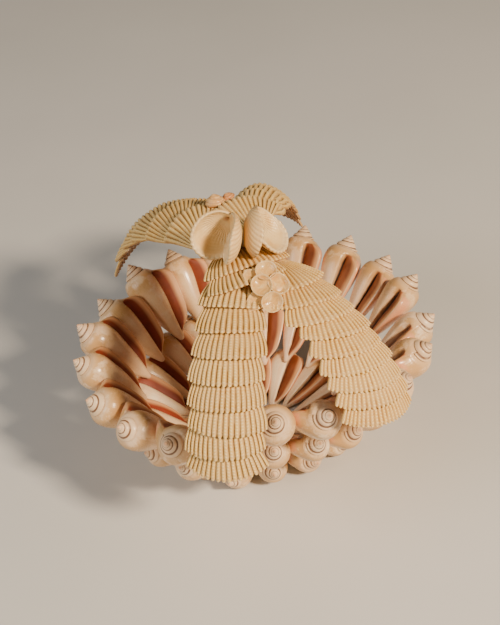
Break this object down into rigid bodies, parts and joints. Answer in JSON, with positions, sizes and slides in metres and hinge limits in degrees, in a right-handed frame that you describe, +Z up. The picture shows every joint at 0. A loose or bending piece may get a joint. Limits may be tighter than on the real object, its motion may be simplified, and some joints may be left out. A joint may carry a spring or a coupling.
{
  "type": "shell basket",
  "caption": "Round ornamental basket built of glued conch shells in stacked rings, with a forked arch handle of overlapping ribbed shells, a shell bow on top and small shell flowers.",
  "frame": {"origin": "centre of the bounding box at table level", "axes": "+Z up, handle arch in the YZ plane, -Y towards the front fork with the cup flower"},
  "size_m": [0.1876, 0.1946, 0.1541],
  "materials": {
    "rim_conch": "glossy cream and peach shell with brick red mouths",
    "middle_conch": "satin cream shell with red mouths",
    "base_conch": "satin cream shell",
    "ark": "matte cream yellow beaded ribs, ochre in the grooves",
    "cockle": "pale satin cream, smooth inside, finely ribbed outside",
    "amber_cup": "thin glossy amber shell",
    "button_shell": "glossy tan spiral shell"
  },
  "bodies": {
    "root": {"rim_01": "rim_conch", "rim_02": "rim_conch", "rim_03": "rim_conch", "rim_04": "rim_conch", "rim_05": "rim_conch", "rim_06": "rim_conch", "rim_07": "rim_conch", "rim_08": "rim_conch", "rim_09": "rim_conch", "rim_10": "rim_conch", "rim_11": "rim_conch", "rim_12": "rim_conch", "rim_13": "rim_conch", "rim_14": "rim_conch", "rim_15": "rim_conch", "rim_16": "rim_conch", "rim_17": "rim_conch", "rim_18": "rim_conch", "rim_19": "rim_conch", "rim_20": "rim_conch", "rim_21": "rim_conch", "middle_01": "middle_conch", "middle_02": "middle_conch", "middle_03": "middle_conch", "middle_04": "middle_conch", "middle_05": "middle_conch", "middle_06": "middle_conch", "middle_07": "middle_conch", "middle_08": "middle_conch", "middle_09": "middle_conch", "middle_10": "middle_conch", "middle_11": "middle_conch", "middle_12": "middle_conch", "middle_13": "middle_conch", "middle_14": "middle_conch", "middle_15": "middle_conch", "middle_16": "middle_conch", "middle_17": "middle_conch", "middle_18": "middle_conch", "middle_19": "middle_conch", "base_01": "base_conch", "base_02": "base_conch", "base_03": "base_conch", "base_04": "base_conch", "base_05": "base_conch", "base_06": "base_conch", "base_07": "base_conch", "base_08": "base_conch", "base_09": "base_conch", "base_10": "base_conch", "base_11": "base_conch", "base_12": "base_conch", "base_13": "base_conch", "base_14": "base_conch", "handle_front": "ark", "handle_back": "ark", "bow_left": "cockle", "bow_right": "cockle", "flower_front": "amber_cup", "flower_back": "button_shell"}
  },
  "joints": []
}
